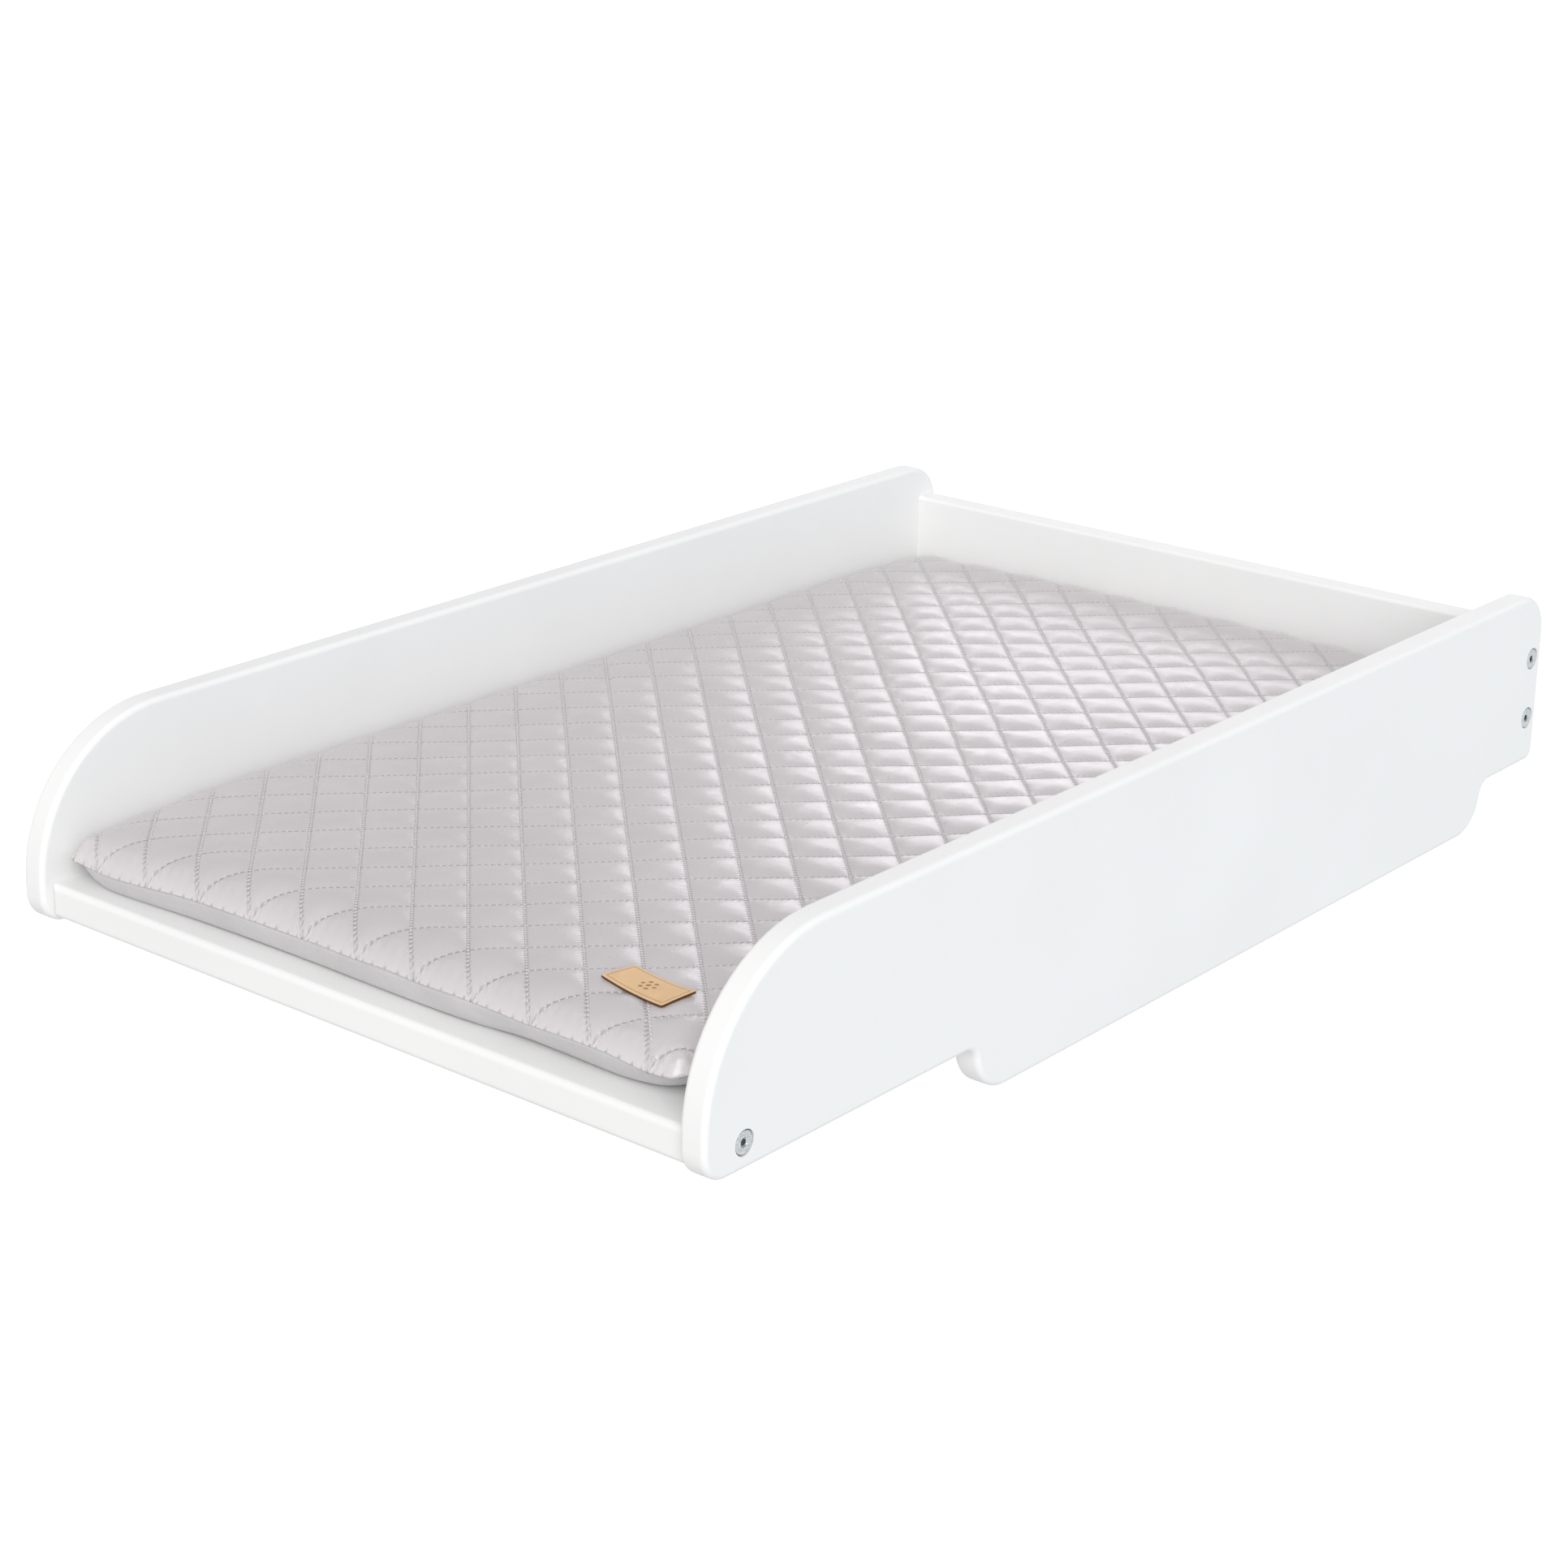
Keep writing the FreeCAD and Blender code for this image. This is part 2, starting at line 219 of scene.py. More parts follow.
def ring_mesh(depths):
    """A flat mesh of rings parallel to the seam, closing on the pad's middle line."""
    rings = [ring(depth, arc=7, short=170, long=286) for depth in depths]
    count = len(rings[0])
    points = np.concatenate(rings)
    bm = bmesh.new()
    verts = [bm.verts.new((x, y, 0)) for x, y in points.tolist()]
    for k in range(len(depths) - 1):
        for i in range(count):
            n = (i + 1) % count
            a, b = k * count, (k + 1) * count
            bm.faces.new((verts[a + i], verts[a + n], verts[b + n], verts[b + i]))
    bmesh.ops.remove_doubles(bm, verts=bm.verts[:], dist=0.01 * MM)
    return bm


def trim(bm):
    """Cuts the plan mesh to the pad's rounded outline."""
    planes, level = 24, 1e-6
    for k in range(planes):
        angle = 2 * math.pi * k / planes
        c, s = math.cos(angle), math.sin(angle)
        radius = FRONT_R if s < 0 else REAR_R
        at = Vector((CENTRE[0], CENTRE[1], 0))
        if abs(c) > level:
            at.x += math.copysign(HALF[0] - radius, c)
        if abs(s) > level:
            at.y += math.copysign(HALF[1] - radius, s)
        at += radius * Vector((c, s, 0))
        geometry = bm.verts[:] + bm.edges[:] + bm.faces[:]
        bmesh.ops.bisect_plane(bm, geom=geometry, plane_co=at, plane_no=(c, s, 0), clear_outer=True)
    rim = [v for v in bm.verts if inset(v.co.x, v.co.y) < 1.5 * MM]
    bmesh.ops.remove_doubles(bm, verts=rim, dist=0.7 * MM)


def ease(value, low, high):
    """Rises smoothly from 0 at low to 1 at high."""
    share = np.clip((value - low) / (high - low), 0, 1)
    return share * share * (3 - 2 * share)


def lean(x, y):
    """The edge's slow bends: the front left droops forwards, the front right is drawn in."""
    left = np.exp(-(((x - CENTRE[0] + 0.84 * HALF[0]) / (62 * MM)) ** 2))
    front = np.exp(-((y - top_low.y) / (26 * MM)))
    right = np.exp(-((top_high.x - x) / (45 * MM))) * np.exp(-((y - top_low.y) / (55 * MM)))
    dip = np.exp(-(((top_high.x - x - 32 * MM) / (24 * MM)) ** 2))
    dx = -9 * MM * right
    dy = -4 * MM * left * front
    dz = -(4.4 * MM * left + 2.2 * MM * dip) * front
    return dx, dy, dz


def seam_sway(x, y):
    """How far the seam wanders outwards and upwards from its CAD place."""
    held = 1 - puff(x, y)
    out = -0.4 * MM * held + 0.4 * MM * waves(x, y, 90 * MM, 3)
    up = 0.6 * MM * waves(x, y, 70 * MM, 4) - 0.3 * MM * held
    return out, up - 0.4 * MM


def gathers(x, y, seed):
    """Short folds across the seam, strongest round the corners."""
    deep = inset(x, y)
    angle = np.arctan2(y - CENTRE[1], x - CENTRE[0])
    gx, gy = outward(x, y)
    run = x * gy - y * gx + np.arctan2(gy, gx) * 14 * MM
    spacing = 6.2 * MM
    wave = np.sin(2 * math.pi * run / spacing + 2.5 * waves(x, y, 30 * MM, seed) + angle)
    beside = np.exp(-(((deep - 3.5 * MM) / (5 * MM)) ** 2))
    return wave * beside * (corner_near(x, y, 24 * MM) + 0.015)


def dome(x, y):
    """The padded top without its quilting."""
    deep = np.clip(inset(x, y) / SHOULDER, 0, 1)
    profile = (1 - (1 - deep) ** 2) ** 0.55
    sink = 1 - 0.22 * corner_near(x, y, 75 * MM)
    soft = 0.7 * MM * waves(x, y, 160 * MM, 1) * deep
    return SEAM_Z + RISE * sink * profile + soft


def under(x, y):
    """The underside, curving in from the seam to the board: steep in front, slanting at the sides.

    tuck_x and tuck_y are how far in it meets the board, and slack draws its front right further in."""
    slack = 8 * MM * ease(x, 0.07, 0.13) + 10 * MM * ease(x, 0.19, 0.235)
    tuck_y = 9 * MM + slack * (y < CENTRE[1]) + 1.2 * MM * waves(x, y, 150 * MM, 2)
    tuck_x = 24 * MM + 14 * MM * np.exp(-((y - top_low.y) / (60 * MM)))
    tuck_x = tuck_x + 2 * MM * waves(x, y, 120 * MM, 6)
    side = np.clip(1 - (HALF[0] - np.abs(x - CENTRE[0])) / tuck_x, 0, 1)
    end = np.clip(1 - (HALF[1] - np.abs(y - CENTRE[1])) / tuck_y, 0, 1)
    rim = 1 - inset(x, y) / (9 * MM)
    edge = np.clip(np.maximum(np.hypot(side, end), rim * (corner_far(x, y) < 40 * MM)), 0, 1)
    return SEAM_Z - DROP * (1 - edge**2) ** 0.8


def vectors_of(mesh, name):
    """One row per vertex of its position, "co", or its "normal"."""
    values = np.zeros(len(mesh.vertices) * 3, np.float32)
    mesh.vertices.foreach_get(name, values)
    return values.reshape(-1, 3).astype(float)


def edge_ends(mesh):
    """The two vertex numbers of every edge."""
    ends = np.zeros(len(mesh.edges) * 2, np.int32)
    mesh.edges.foreach_get("vertices", ends)
    return ends.reshape(-1, 2)


def mesh_of(name, bm):
    """A new mesh from bm, which is freed."""
    mesh = bpy.data.meshes.new(name)
    bm.to_mesh(mesh)
    bm.free()
    return mesh


def set_points(mesh, points):
    """Moves every vertex to its row of points."""
    mesh.vertices.foreach_set("co", np.asarray(points, np.float32).ravel())
    mesh.update()


def place(name, data):
    """A new object in the scene."""
    piece = bpy.data.objects.new(name, data)
    bpy.context.scene.collection.objects.link(piece)
    return piece


def store(mesh, name, values):
    """Keeps one vector per vertex as an attribute that materials read."""
    attribute = mesh.attributes.new(name, "FLOAT_VECTOR", "POINT")
    attribute.data.foreach_set("vector", np.asarray(values, np.float32).ravel())


def smooth(mesh):
    """Smooth shading on every face."""
    mesh.polygons.foreach_set("use_smooth", [True] * len(mesh.polygons))
    mesh.update()


def add_fold(bm):
    """Gives the rim one more strip of faces, and returns the numbers of its new vertices."""
    rim = [e for e in bm.edges if e.is_boundary]
    folded = bmesh.ops.extrude_edge_only(bm, edges=rim)["geom"]
    bm.verts.index_update()
    return [g.index for g in folded if isinstance(g, bmesh.types.BMVert)]


def skin(name, bm, height, side, puffed, sway_reach):
    """A cover: the plan mesh lifted to height(x, y), with its rim folded in at the seam.

    side is 1 for a cover above the seam and -1 below. Returns the piece, its flat points and
    the vertices of its fold."""
    fold = add_fold(bm)
    mesh = mesh_of(name, bm)
    flat = vectors_of(mesh, "co")
    x, y = flat[:, 0], flat[:, 1]
    deep = np.maximum(inset(x, y), 0)
    gx, gy = outward(x, y)
    out, up = seam_sway(x, y)
    fade = np.exp(-deep / sway_reach)
    dx, dy, dz = lean(x, y)
    z = height(x, y) + dz * np.exp(-deep / DROOP_FADE)
    crowned = np.stack([x + dx + gx * out * fade, y + dy + gy * out * fade, z + up * fade], 1)
    seam_gap, fold_gap, inward = 0.08 * MM, 0.04 * MM, 3 * MM
    crowned[:, 2] += side * seam_gap * (deep < RIM)
    set_points(mesh, crowned)
    normals = vectors_of(mesh, "normal")
    lift = normals * side * np.sign((normals[:, 2:3] * side).mean())
    crowned += lift * (gathers(x, y, 5) * 1.7 * MM)[:, None] * (deep > RIM)[:, None]
    if puffed:
        crowned += lift * (puff(x, y) ** 0.75 * np.clip(deep / (6 * MM), 0, 1) * puffed)[:, None]
    crowned[fold, 0] = (x + dx + gx * (out - inward))[fold]
    crowned[fold, 1] = (y + dy + gy * (out - inward))[fold]
    crowned[fold, 2] = (SEAM_Z + dz + up)[fold] + side * fold_gap
    still = (deep < RIM) | (deep > SOFT_RIM)
    set_points(mesh, relaxed(mesh, crowned, still, passes=7))
    store(mesh, "cloth", flat)
    smooth(mesh)
    return place(name, mesh), flat, fold


def crease(mesh, flat):
    """Keeps the seam and the stitch lines sharp under subdivision."""
    seam, line = 0.85, 0.75
    ends = edge_ends(mesh)
    a, b = ends.T
    sharp = np.zeros(len(ends), bool)
    for w in lattice(flat[:, 0], flat[:, 1]):
        on = np.abs(w - np.round(w)) * CELL < 0.02 * MM
        sharp |= on[a] & on[b] & (np.round(w[a]) == np.round(w[b]))
    rim = inset(flat[:, 0], flat[:, 1]) < RIM
    value = np.where(rim[ends].all(1), seam, np.where(sharp, line, 0.0))
    attribute = mesh.attributes.new("crease_edge", "FLOAT", "EDGE")
    attribute.data.foreach_set("value", value.astype(np.float32))


def relaxed(mesh, values, held, passes):
    """Evens one vector per vertex out over its neighbours, unchanged on the held points."""
    share = 0.6
    ends = edge_ends(mesh)
    a, b = ends.T
    count = np.bincount(ends.ravel(), minlength=len(values))[:, None]
    fixed = values[held]
    for _ in range(passes):
        total = np.zeros_like(values)
        np.add.at(total, a, values[b])
        np.add.at(total, b, values[a])
        values = (1 - share) * values + share * total / count
        values[held] = fixed
    return values


def inflate(piece, held, pressure, cap):
    """Blows a cover up with Cloth between its held points, and applies the result."""
    frames = 20
    rest = vectors_of(piece.data, "co")
    group = piece.vertex_groups.new(name="held")
    group.add([int(i) for i in held], 1.0, "REPLACE")
    cloth = piece.modifiers.new("cloth", "CLOTH")
    settings = cloth.settings
    settings.quality = 6
    settings.mass = 0.2
    settings.tension_stiffness = 12
    settings.compression_stiffness = 12
    settings.shear_stiffness = 4
    settings.bending_stiffness = 0.5
    settings.air_damping = 4
    settings.use_pressure = True
    settings.uniform_pressure_force = pressure
    settings.shrink_min = -0.01
    settings.effector_weights.gravity = 0
    settings.vertex_group_mass = group.name
    cloth.collision_settings.use_collision = False
    for step in range(1, frames + 1):
        bpy.context.scene.frame_set(step)
    shape = piece.evaluated_get(bpy.context.evaluated_depsgraph_get()).to_mesh()
    moved = vectors_of(shape, "co") - rest
    piece.modifiers.remove(cloth)
    piece.vertex_groups.remove(group)
    bpy.context.scene.frame_set(1)
    far = np.linalg.norm(moved, axis=1, keepdims=True)
    moved *= np.minimum(1, cap / np.maximum(far, 1e-9))
    moved[held] = 0
    set_points(piece.data, rest + relaxed(piece.data, moved, held, passes=3))


def refine(piece):
    """One applied subdivision."""
    modifier = piece.modifiers.new("finer", "SUBSURF")
    modifier.levels = 1
    modifier.render_levels = 1
    graph = bpy.context.evaluated_depsgraph_get()
    finer = bpy.data.meshes.new_from_object(piece.evaluated_get(graph), depsgraph=graph)
    piece.modifiers.remove(modifier)
    piece.data = finer
    smooth(finer)


def finish_piece(piece, body, material, replaced=None):
    """Gives a piece its material and its body, and hides the CAD node it stands for."""
    piece.data.materials.clear()
    piece.data.materials.append(material)
    if replaced:
        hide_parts(replaced)
    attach(piece, body)


class Graph:
    """A short way to wire a material's nodes."""

    def __init__(self, name, **values):
        self.material = bpy.data.materials.new(name)
        self.material.use_nodes = True
        self.tree = self.material.node_tree
        self.shader = self.tree.nodes["Principled BSDF"]
        for key, value in values.items():
            self.shader.inputs[key.replace("_", " ")].default_value = value

    def add(self, kind, inputs, **settings):
        """A new node, with its settings and then its inputs."""
        node = self.tree.nodes.new(kind)
        for key, value in settings.items():
            setattr(node, key, value)
        for key, value in inputs.items():
            self.put(node.inputs[key], value)
        return node

    def put(self, socket, value):
        """Links a socket, or sets it to a constant."""
        if isinstance(value, bpy.types.NodeSocket):
            self.tree.links.new(value, socket)
        else:
            socket.default_value = value

    def math(self, operation, a, b=0.0, c=0.0):
        node = self.add("ShaderNodeMath", {0: a, 1: b, 2: c}, operation=operation)
        return node.outputs[0]

    def split(self, at):
        """A vector's X, Y and Z."""
        parts = self.add("ShaderNodeSeparateXYZ", {0: at})
        return parts.outputs["X"], parts.outputs["Y"], parts.outputs["Z"]

    def wave(self, value, pitch):
        """A sine wave of that pitch."""
        return self.math("SINE", self.math("MULTIPLY", value, 2 * math.pi / pitch))

    def spread(self, value, low=0.3, high=0.7):
        """Stretches a noise's middle range to 0..1."""
        return self.ramp(value, low, high, 0, 1)

    def place(self):
        """The point's own position on its object."""
        return self.add("ShaderNodeTexCoord", {}).outputs["Object"]

    def cloth(self):
        """The point's place on the pad's plan."""
        return self.add("ShaderNodeAttribute", {}, attribute_name="cloth").outputs["Vector"]

    def noise(self, place, size, detail=2.0):
        """Noise with features of about that size."""
        inputs = {"Vector": place, "Scale": 1 / size, "Detail": detail}
        return self.add("ShaderNodeTexNoise", inputs).outputs["Fac"]

    def ramp(self, value, low, high, a, b):
        """Maps value from low..high to a..b."""
        inputs = {"Value": value, "From Min": low, "From Max": high, "To Min": a, "To Max": b}
        return self.add("ShaderNodeMapRange", inputs).outputs["Result"]

    def mix(self, share, a, b):
        """Mixes two colours: sockets 0, 6 and 7 are the node's factor and colours."""
        node = self.add("ShaderNodeMix", {0: share, 6: a, 7: b}, data_type="RGBA")
        return node.outputs[2]

    def bump(self, height, depth, normal=None):
        """A bump of that real depth."""
        inputs = {"Height": height, "Distance": depth, "Strength": 1.0}
        if normal is not None:
            inputs["Normal"] = normal
        return self.add("ShaderNodeBump", inputs).outputs["Normal"]

    def surface(self, **sockets):
        """Connects the shader and returns the material."""
        for key, value in sockets.items():
            self.put(self.shader.inputs[key.replace("_", " ")], value)
        return self.material


def rgb(red, green, blue):
    return (red, green, blue, 1.0)


def lacquer():
    """White lacquer over fibreboard: faint orange peel and slow changes of gloss."""
    g = Graph("white_lacquer", Specular_IOR_Level=0.28)
    at = g.place()
    cloud = g.noise(at, 0.12, 3)
    colour = g.mix(g.spread(cloud), rgb(0.86, 0.862, 0.855), rgb(0.885, 0.887, 0.88))
    roughness = g.ramp(g.noise(at, 0.03, 4), 0.25, 0.75, 0.54, 0.64)
    peel = g.bump(g.noise(at, 1.6 * MM, 2), 0.012 * MM)
    slow = g.bump(g.noise(at, 45 * MM, 1), 0.10 * MM, peel)
    return g.surface(Base_Color=colour, Roughness=roughness, Normal=slow)


def zinc():
    """Bright zinc plating with fine crystal mottling."""
    g = Graph("zinc_steel", Metallic=1.0)
    at = g.place()
    spots = g.add("ShaderNodeTexVoronoi", {"Vector": at, "Scale": 1 / (0.9 * MM)})
    mottle = g.spread(spots.outputs["Color"], 0.2, 0.8)
    colour = g.mix(mottle, rgb(0.36, 0.39, 0.40), rgb(0.50, 0.53, 0.54))
    roughness = g.ramp(g.noise(at, 0.7 * MM, 3), 0.3, 0.7, 0.22, 0.42)
    bump = g.bump(g.noise(at, 0.35 * MM, 3), 0.01 * MM)
    return g.surface(Base_Color=colour, Roughness=roughness, Normal=bump)


def beech():
    """Turned beech: long pores and flecks along the dowel."""
    g = Graph("beech", Roughness=0.6)
    at = g.place()
    along, across = 120, 700
    stretch = {0: at, 1: (along, across, across)}
    scaled = g.add("ShaderNodeVectorMath", stretch, operation="MULTIPLY").outputs[0]
    grain = g.add("ShaderNodeTexNoise", {"Vector": scaled, "Scale": 1.0, "Detail": 4.0})
    share = g.spread(grain.outputs["Fac"])
    colour = g.mix(share, rgb(0.52, 0.31, 0.17), rgb(0.70, 0.48, 0.30))
    bump = g.bump(grain.outputs["Fac"], 0.05 * MM)
    return g.surface(Base_Color=colour, Normal=bump)


def weave(g, warp, weft, pitch):
    """A plain weave's height, from two crossed waves."""
    return g.math("MULTIPLY", g.wave(warp, pitch), g.wave(weft, pitch))


def stitch_marks(g, at):
    """(needle-hole dips, puckers) beside the lines of stitches, each from 0 to 1; the dips also carry
    painted shade.
    """
    x, y, _ = g.split(at)
    a = g.math("DIVIDE", g.math("SUBTRACT", x, CROSSING[0]), PITCH)
    b = g.math("DIVIDE", g.math("SUBTRACT", y, CROSSING[1]), PITCH)
    u, v = g.math("ADD", a, b), g.math("SUBTRACT", a, b)
    families = ((u, v, STITCH[0], 1.7, 0.30), (v, u, STITCH[1], 0.9, 0.38))
    shaded_holes, puckers = 0.0, 0.0
    for across, along, pitch, wide, long in families:
        away = g.math("MULTIPLY", g.math("PINGPONG", across, 0.5), CELL)
        count = g.math("MULTIPLY", along, CELL / pitch)
        gap = g.math("PINGPONG", count, 0.5)
        near = g.ramp(away, 0.35 * wide * MM, wide * MM, 1, 0)
        # The dip mask: it darkens the cloth's colour as painted shade, and it sinks the cloth as a
        # bump.
        hole = g.math("MULTIPLY", near, g.ramp(gap, 0.6 * long, long, 1, 0))
        shaded_holes = g.math("MAXIMUM", shaded_holes, hole)
        ripple = g.math("COSINE", g.math("MULTIPLY", count, 2 * math.pi))
        fade = g.math("POWER", math.e, g.math("DIVIDE", away, -1.3 * MM))
        puckers = g.math("ADD", puckers, g.math("MULTIPLY", ripple, fade))
    return shaded_holes, puckers


def satin():
    """The pad's quilted microfibre: soft sheen, faint weave, puckers, needle-hole dips darkened with
    painted shade, and cloth painted paler towards the seam as a painted sheen.
    """
    g = Graph("quilt_satin", Sheen_Weight=0.15, Sheen_Roughness=0.4, Specular_IOR_Level=0.8)
    plan, at = g.cloth(), g.place()
    shaded_holes, puckers = stitch_marks(g, plan)
    cloud = g.spread(g.noise(at, 0.05, 3))
    plain = g.mix(cloud, rgb(0.55, 0.52, 0.53), rgb(0.585, 0.552, 0.563))
    # Painted sheen: the cloth's colour turns paler towards the seam, standing in for the sheen that
    # the shoulder catches.
    near_seam = g.ramp(g.split(at)[2], SEAM_Z, SEAM_Z + 13 * MM, 1, 0)
    painted_seam_sheen = g.mix(near_seam, plain, rgb(0.67, 0.64, 0.65))
    strength = g.math("SUBTRACT", 0.55, g.math("MULTIPLY", near_seam, 0.4))
    # Painted shade: the needle-hole dips are darkened towards rgb(0.24, 0.22, 0.225), less near the
    # seam.
    colour = g.mix(g.math("MULTIPLY", shaded_holes, strength), painted_seam_sheen, rgb(0.24, 0.22, 0.225))
    roughness = g.ramp(g.noise(at, 9 * MM, 3), 0.3, 0.7, 0.27, 0.36)
    warp, weft, _ = g.split(plan)
    fine = g.bump(weave(g, warp, weft, 0.45 * MM), 0.004 * MM)
    crumple = g.bump(g.noise(at, 14 * MM, 1), 0.5 * MM, fine)
    pucker = g.bump(puckers, 0.3 * MM, crumple)
    hole = g.bump(g.math("SUBTRACT", 1.0, shaded_holes), 0.5 * MM, pucker)
    return g.surface(Base_Color=colour, Roughness=roughness, Normal=hole)


def underside_cloth():
    """Matt grey lining cloth with a visible plain weave."""
    g = Graph("underside_cloth", Roughness=0.85, Sheen_Weight=0.25)
    at = g.place()
    cloud = g.spread(g.noise(at, 0.03, 4))
    colour = g.mix(cloud, rgb(0.56, 0.543, 0.55), rgb(0.605, 0.588, 0.595))
    x, y, z = g.split(at)
    warp, weft = g.math("ADD", x, y), g.math("SUBTRACT", z, y)
    fine = g.bump(weave(g, warp, weft, 0.6 * MM), 0.03 * MM)
    crumple = g.bump(g.noise(at, 14 * MM, 3), 1.2 * MM, fine)
    return g.surface(Base_Color=colour, Normal=crumple)


def thread():
    """Polyester thread with the twist of its plies, coloured paler than the cloth as a painted
    highlight on the raised stitches.
    """
    g = Graph("quilting_thread", Roughness=0.55, Sheen_Weight=0.2)
    at = g.place()
    ply = g.noise(at, 0.5 * MM, 2)
    # Painted highlight: the thread is the cloth's grey, made paler here to stand for the light it
    # catches.
    colour = g.mix(g.spread(ply), rgb(0.60, 0.575, 0.585), rgb(0.69, 0.665, 0.675))
    return g.surface(Base_Color=colour, Normal=g.bump(ply, 0.05 * MM))


def leather(name, light, dark):
    """Tan leather: pores, fine creases and uneven dye."""
    g = Graph(name, Roughness=0.5, Specular_IOR_Level=0.4)
    at = g.place()
    pressed = g.add("ShaderNodeAttribute", {}, attribute_name="pressed").outputs["Fac"]
    dye = g.spread(g.noise(at, 9 * MM, 4))
    cells = g.add("ShaderNodeTexVoronoi", {"Vector": at, "Scale": 1 / (0.8 * MM)})
    pores = g.ramp(cells.outputs["Distance"], 0.0, 0.6, 0, 1)
    grained = g.mix(g.math("MULTIPLY", pores, 0.35), light, dark)
    dyed = g.mix(g.math("MULTIPLY", dye, 0.5), grained, dark)
    colour = g.mix(g.math("MULTIPLY", pressed, 0.75), dyed, rgb(0.20, 0.10, 0.045))
    bump = g.bump(pores, 0.06 * MM)
    return g.surface(Base_Color=colour, Normal=bump)


def foam():
    """Open-cell foam."""
    g = Graph("foam", Roughness=0.95)
    at = g.place()
    cells = g.add("ShaderNodeTexVoronoi", {"Vector": at, "Scale": 1 / (1.2 * MM)})
    hole = g.ramp(cells.outputs["Distance"], 0.1, 0.6, 0, 1)
    colour = g.mix(hole, rgb(0.62, 0.58, 0.42), rgb(0.80, 0.77, 0.62))
    return g.surface(Base_Color=colour, Normal=g.bump(hole, 0.4 * MM))


def wadding():
    """White polyester wadding with loose fibres."""
    g = Graph("wadding", Roughness=1.0, Sheen_Weight=0.5)
    at = g.place()
    fibres = g.noise(at, 2.5 * MM, 6)
    colour = g.mix(g.spread(fibres), rgb(0.74, 0.74, 0.73), rgb(0.86, 0.86, 0.85))
    return g.surface(Base_Color=colour, Normal=g.bump(fibres, 0.8 * MM))


def dress_boards():
    """Gives every CAD node that stays its finish."""
    board, steel, wood = lacquer(), zinc(), beech()
    finishes = {
        "side_panel": board,
        "base_board": board,
        "back_panel": board,
        "connector_bolt": steel,
        "barrel_nut": steel,
        "dowel": wood,
    }
    for name, node in nodes.items():
        for start, material in finishes.items():
            if name.startswith(start):
                for slot in node.material_slots:
                    slot.material = material


def top_cover():
    """The quilted cover, blown up between its lines of stitches."""
    bm = plan_mesh(6, [(12 * MM, 1), (10 * MM, 26 * MM)])
    start = 0.7 * PILLOW
    piece, flat, fold = skin("quilted_cover", bm, dome, 1, start, 9 * MM)
    crease(piece.data, flat)
    at = np.array(lattice(flat[:, 0], flat[:, 1]))
    held = (np.abs(at - np.round(at)) * CELL < 0.05 * MM).any(0)
    held |= inset(flat[:, 0], flat[:, 1]) < 1.0 * MM
    held[fold] = True
    inflate(piece, np.flatnonzero(held), pressure=4.0, cap=3.5 * MM)
    refine(piece)
    finish_piece(piece, "pad", satin(), "quilted_top_cover")
    return piece


def lining():
    """The plain cloth under the pad."""
    near = [0, 0.5, 1.2, 2, 3, 4, 5.2, 6.5, 8, 10, 12, 14.5, 17, 20, 23, 26, 30, 36, 45, 60]
    far = [90, 130, 170, 210]
    bm = ring_mesh([*(np.array(near + far) * MM), HALF[0]])
    piece, _, _ = skin("lining_cover", bm, under, -1, 0, 2.5 * MM)
    bm = bmesh.new()
    bm.from_mesh(piece.data)
    bmesh.ops.reverse_faces(bm, faces=bm.faces[:])
    bm.to_mesh(piece.data)
    bm.free()
    finish_piece(piece, "pad", underside_cloth(), "bottom_cover")


def layer(name, bands, low, high, edge):
    """A closed soft layer between two heights, in from the seam by edge."""
    bm = plan_mesh(3, bands)
    whole = bmesh.ops.extrude_face_region(bm, geom=bm.faces[:])["geom"]
    bm.verts.index_update()
    raised = [g.index for g in whole if isinstance(g, bmesh.types.BMVert)]
    x, y, _ = np.array([v.co for v in bm.verts]).T
    is_high = np.zeros(len(x), bool)
    is_high[raised] = True
    dx, dy, dz = lean(x, y)
    z = np.where(is_high, high(x, y), low(x, y)) + dz * np.exp(-inset(x, y) / DROOP_FADE)
    px = CENTRE[0] + (x - CENTRE[0]) * (1 - edge / HALF[0]) + dx
    py = CENTRE[1] + (y - CENTRE[1]) * (1 - edge / HALF[1]) + dy
    for vert, point in zip(bm.verts, np.stack([px, py, z], 1).tolist()):
        vert.co = point
    bmesh.ops.recalc_face_normals(bm, faces=bm.faces[:])
    mesh = mesh_of(name, bm)
    smooth(mesh)
    return place(name, mesh)


def foam_low(x, y):
    """Just above the lining."""
    return under(x, y) + 1.2 * MM


def foam_top(x, y):
    """Under the wadding, which thins towards the seam."""
    return dome(x, y) - 5.5 * MM * np.clip(inset(x, y) / (12 * MM), 0.1, 1)


def wadding_low(x, y):
    """Just above the foam."""
    return foam_top(x, y) + 0.4 * MM


def wadding_top(x, y):
    """Under the quilted cover."""
    return dome(x, y) - 2.2 * MM


def filling():
    """The foam and the wadding that the covers hide."""
    core = layer("foam_block", [(10 * MM, 1)], foam_low, foam_top, 6 * MM)
    soft = layer("wadding_sheet", [(10 * MM, 1)], wadding_low, wadding_top, 5 * MM)
    for piece, slot, material, node in (
        (core, "foam", foam(), "foam_core"),
        (soft, "wadding", wadding(), "quilt_wadding"),
    ):
        finish_piece(piece, "pad", material, node)


def surface_tree(piece):
    """A piece's surface, ready for drop_to."""
    mesh = piece.data
    faces = [list(p.vertices) for p in mesh.polygons]
    return BVHTree.FromPolygons([v.co for v in mesh.vertices], faces)


def drop_to(tree, x, y):
    """(point, normal) of the surface under a plan point, or None."""
    hit, normal, _, _ = tree.ray_cast(Vector((x, y, 1.0)), Vector((0, 0, -1)))
    return (hit, normal) if hit else None


